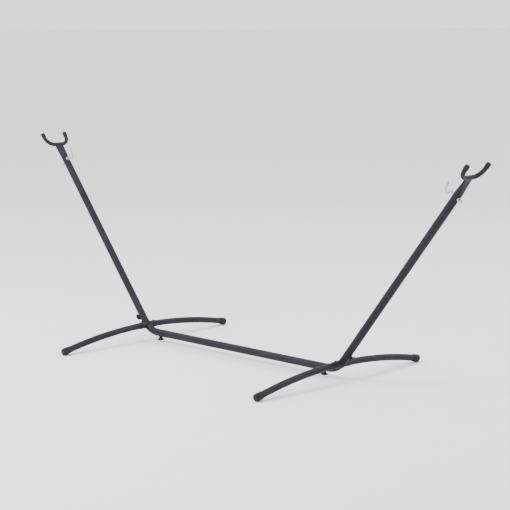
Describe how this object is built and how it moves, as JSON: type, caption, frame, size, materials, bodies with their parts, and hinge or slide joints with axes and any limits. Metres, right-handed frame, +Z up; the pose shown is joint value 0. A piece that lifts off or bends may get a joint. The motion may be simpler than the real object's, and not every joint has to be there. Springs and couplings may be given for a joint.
{
  "type": "hammock stand",
  "caption": "Free-standing steel stand for a hammock: a long beam on two bowed feet, with leaning arms that end in forks and open hooks.",
  "frame": {"origin": "on the floor, under the middle of the beam", "axes": "+X along the beam to the right end, +Y along the feet to the back, +Z up"},
  "size_m": [3.1256, 1.2062, 1.1311],
  "materials": {
    "powder_coat": "satin charcoal powder coat",
    "plastic_cap": "moulded, fine grain",
    "rubber_cap": "matte moulded rubber",
    "knob_plastic": "moulded, fine grain",
    "black_fastener": "black zinc",
    "zinc_plated": "bright zinc plate",
    "bare_steel": "plain steel"
  },
  "bodies": {
    "root": {"beam_tube": "powder_coat", "left_elbow": "powder_coat", "right_elbow": "powder_coat", "left_front_socket": "powder_coat", "left_back_socket": "powder_coat", "right_front_socket": "powder_coat", "right_back_socket": "powder_coat", "left_front_foot": "powder_coat", "left_back_foot": "powder_coat", "right_front_foot": "powder_coat", "right_back_foot": "powder_coat", "left_front_foot_cap": "plastic_cap", "left_back_foot_cap": "plastic_cap", "right_front_foot_cap": "plastic_cap", "right_back_foot_cap": "plastic_cap", "left_foot_bolts": "black_fastener", "right_foot_bolts": "black_fastener", "left_foot_nuts": "bare_steel", "right_foot_nuts": "bare_steel", "left_arm": "powder_coat", "right_arm": "powder_coat", "left_fork": "powder_coat", "right_fork": "powder_coat", "left_front_tip_cap": "rubber_cap", "left_back_tip_cap": "rubber_cap", "right_front_tip_cap": "rubber_cap", "right_back_tip_cap": "rubber_cap", "left_hook": "zinc_plated", "right_hook": "zinc_plated", "left_hook_washers": "zinc_plated", "right_hook_washers": "zinc_plated", "left_hook_nuts": "zinc_plated", "right_hook_nuts": "zinc_plated", "left_beam_weld_nut": "bare_steel", "left_arm_weld_nut": "bare_steel", "right_beam_weld_nut": "bare_steel", "right_arm_weld_nut": "bare_steel"},
    "left_beam_washer_slide": {"left_beam_washer": "black_fastener"},
    "left_beam_knob_screw": {"left_beam_knob": "knob_plastic", "left_beam_stud": "zinc_plated"},
    "left_arm_washer_slide": {"left_arm_washer": "black_fastener"},
    "left_arm_knob_screw": {"left_arm_knob": "knob_plastic", "left_arm_stud": "zinc_plated"},
    "right_beam_washer_slide": {"right_beam_washer": "black_fastener"},
    "right_beam_knob_screw": {"right_beam_knob": "knob_plastic", "right_beam_stud": "zinc_plated"},
    "right_arm_washer_slide": {"right_arm_washer": "black_fastener"},
    "right_arm_knob_screw": {"right_arm_knob": "knob_plastic", "right_arm_stud": "zinc_plated"}
  },
  "joints": [
    {"name": "left_beam_knob_travel", "type": "slide", "parent": "root", "child": "left_beam_washer_slide", "axis": [0, 0, -1], "range_m": [0, 0.01]},
    {"name": "left_beam_knob_turn", "type": "hinge", "parent": "left_beam_washer_slide", "child": "left_beam_knob_screw", "pos_m": [-0.6194, 0, 0.0524], "axis": [0, 0, -1], "range_deg": [0, 2880]},
    {"name": "left_arm_knob_travel", "type": "slide", "parent": "root", "child": "left_arm_washer_slide", "axis": [-0.7848, 0, -0.6198], "range_m": [0, 0.01]},
    {"name": "left_arm_knob_turn", "type": "hinge", "parent": "left_arm_washer_slide", "child": "left_arm_knob_screw", "pos_m": [-0.77682, 0, 0.1403], "axis": [-0.7848, 0, -0.6198], "range_deg": [0, 2880]},
    {"name": "right_beam_knob_travel", "type": "slide", "parent": "root", "child": "right_beam_washer_slide", "axis": [0, 0, -1], "range_m": [0, 0.01]},
    {"name": "right_beam_knob_turn", "type": "hinge", "parent": "right_beam_washer_slide", "child": "right_beam_knob_screw", "pos_m": [0.6194, 0, 0.0524], "axis": [0, 0, -1], "range_deg": [0, 2880]},
    {"name": "right_arm_knob_travel", "type": "slide", "parent": "root", "child": "right_arm_washer_slide", "axis": [0.7848, 0, -0.6198], "range_m": [0, 0.01]},
    {"name": "right_arm_knob_turn", "type": "hinge", "parent": "right_arm_washer_slide", "child": "right_arm_knob_screw", "pos_m": [0.77682, 0, 0.1403], "axis": [0.7848, 0, -0.6198], "range_deg": [0, 2880]}
  ],
  "couplings": [
    {"joint": "left_beam_knob_turn", "follows": "left_beam_knob_travel", "rad_per_m": 5026.5},
    {"joint": "left_arm_knob_turn", "follows": "left_arm_knob_travel", "rad_per_m": 5026.5},
    {"joint": "right_beam_knob_turn", "follows": "right_beam_knob_travel", "rad_per_m": 5026.5},
    {"joint": "right_arm_knob_turn", "follows": "right_arm_knob_travel", "rad_per_m": 5026.5}
  ]
}
